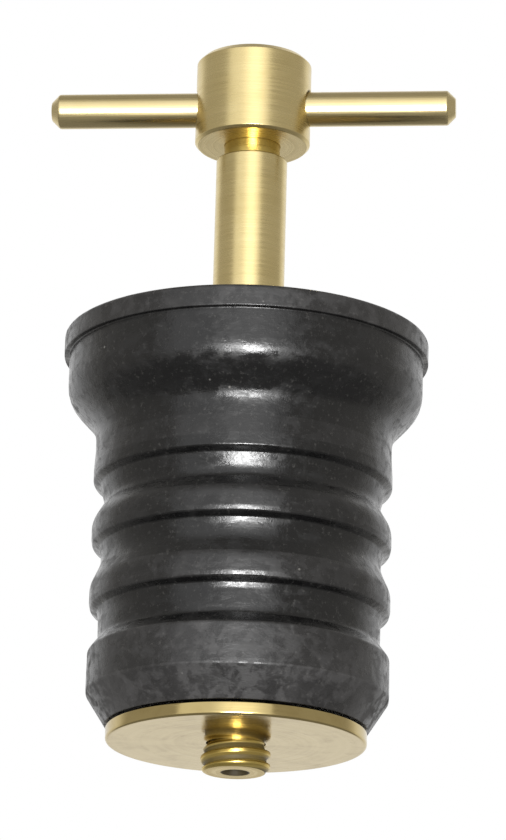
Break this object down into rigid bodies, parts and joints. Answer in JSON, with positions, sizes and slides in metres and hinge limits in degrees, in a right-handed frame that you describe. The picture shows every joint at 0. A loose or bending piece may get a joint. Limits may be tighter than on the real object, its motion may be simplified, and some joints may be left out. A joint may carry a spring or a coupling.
{
  "type": "boat drain plug",
  "caption": "Expanding boat drain plug: a T-handle screw draws a brass plate up to squeeze and swell a ridged rubber body in a drain tube.",
  "frame": {"origin": "on the plug's axis, half-way up the plain band under the flange, which is the height of the drain tube's mouth", "axes": "+Z along the screw towards the handle, X along the handle's bar at rest"},
  "size_m": [0.0354, 0.0312, 0.0636],
  "materials": {
    "black_rubber": "moulded black rubber, semi-gloss with a dusty bloom on the raised bands",
    "plate_brass": "stamped satin yellow brass",
    "turned_brass": "satin turned yellow brass",
    "screw_brass": "bare yellow brass, slightly darkened",
    "drawn_brass": "bright drawn yellow brass"
  },
  "bodies": {
    "plug_body": {"rubber_body": "black_rubber", "top_washer": "plate_brass", "spacer_sleeve": "turned_brass"},
    "handle": {"handle_head": "turned_brass", "handle_bar": "drawn_brass", "screw": "screw_brass"},
    "plate": {"bottom_plate": "plate_brass"}
  },
  "joints": [
    {"name": "handle_turn", "type": "hinge", "parent": "plug_body", "child": "handle", "pos_m": [0, 0, 0.0312], "axis": [0, 0, 1], "range_deg": [-1170, 0]},
    {"name": "plate_lift", "type": "slide", "parent": "plug_body", "child": "plate", "axis": [0, 0, 1], "range_m": [0, 0.00344], "deforming": ["rubber_body"]}
  ],
  "couplings": [
    {"joint": "plate_lift", "follows": "handle_turn", "m_per_rad": -0.00016844}
  ]
}
